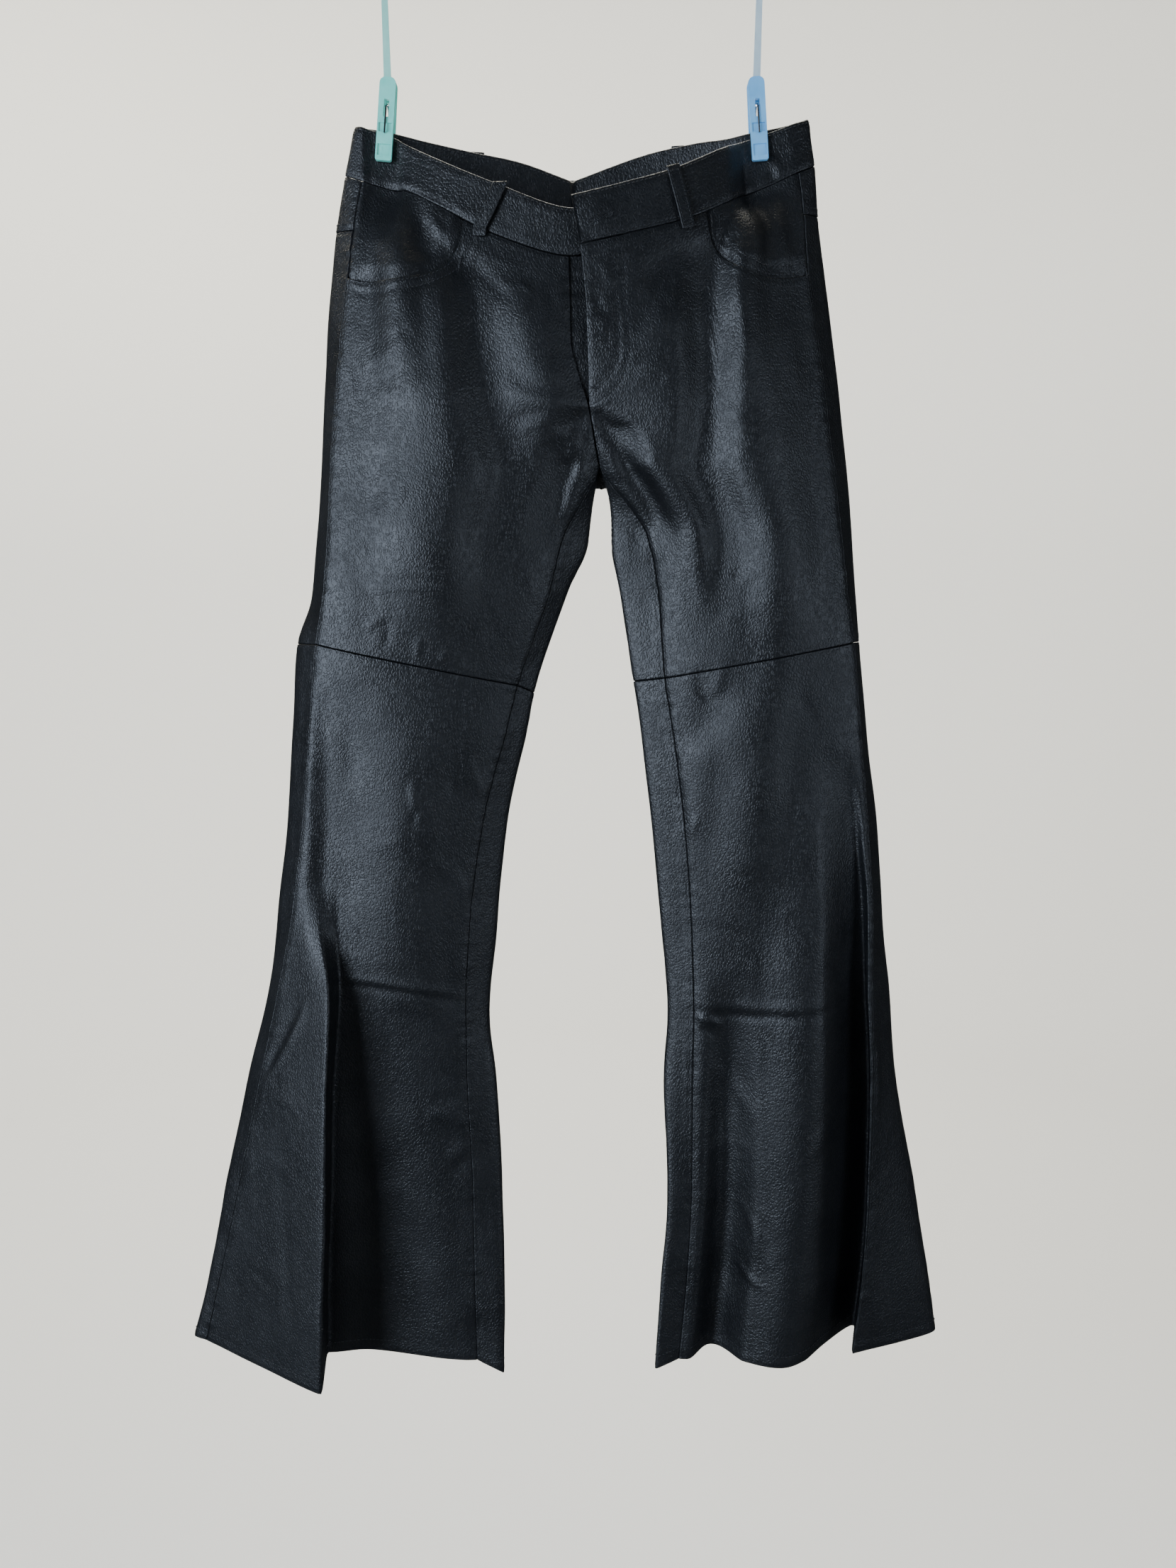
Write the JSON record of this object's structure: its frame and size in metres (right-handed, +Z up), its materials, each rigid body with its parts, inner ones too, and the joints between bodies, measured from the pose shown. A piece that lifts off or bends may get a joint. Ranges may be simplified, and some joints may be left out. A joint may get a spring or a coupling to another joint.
{
  "type": "flared trousers hung on pegs from a rail",
  "caption": "Flared leather-look trousers with knee seams and curved front pockets, hung by two sprung pegs from straps on a plain rail.",
  "frame": {"origin": "Centre of the rail that the trousers hang from, on its axis.", "axes": "+X is to the right of someone who looks at the front, -Y is the front of the trousers and +Z is up. The rail runs along X."},
  "size_m": [0.6634, 0.1242, 1.1641],
  "materials": {
    "faux_leather": "pebbled satin",
    "peg_green": "moulded",
    "peg_blue": "moulded",
    "strap": "moulded",
    "spring_wire": "bright wire",
    "rail": "satin",
    "zip_tape": "woven",
    "fastener_metal": "satin"
  },
  "bodies": {
    "root": {"back_shin_left": "faux_leather", "back_shin_right": "faux_leather", "back_thigh_left": "faux_leather", "back_thigh_right": "faux_leather", "back_yoke_left": "faux_leather", "back_yoke_right": "faux_leather", "belt_loop_back_centre": "faux_leather", "belt_loop_back_left": "faux_leather", "belt_loop_back_right": "faux_leather", "belt_loop_front_left": "faux_leather", "belt_loop_front_right": "faux_leather", "fly_underlap": "faux_leather", "fly_zip": "zip_tape", "front_shin_left": "faux_leather", "front_shin_right": "faux_leather", "front_thigh_left": "faux_leather", "front_thigh_right": "faux_leather", "hanging_rail": "rail", "peg_left_back_jaw": "peg_green", "peg_left_front_jaw": "peg_green", "peg_left_spring": "spring_wire", "peg_left_strap": "strap", "peg_right_back_jaw": "peg_blue", "peg_right_front_jaw": "peg_blue", "peg_right_spring": "spring_wire", "peg_right_strap": "strap", "pocket_facing_left": "faux_leather", "pocket_facing_right": "faux_leather", "waist_button": "fastener_metal", "waistband_left": "faux_leather", "waistband_right": "faux_leather", "zip_slider": "fastener_metal"}
  },
  "joints": []
}
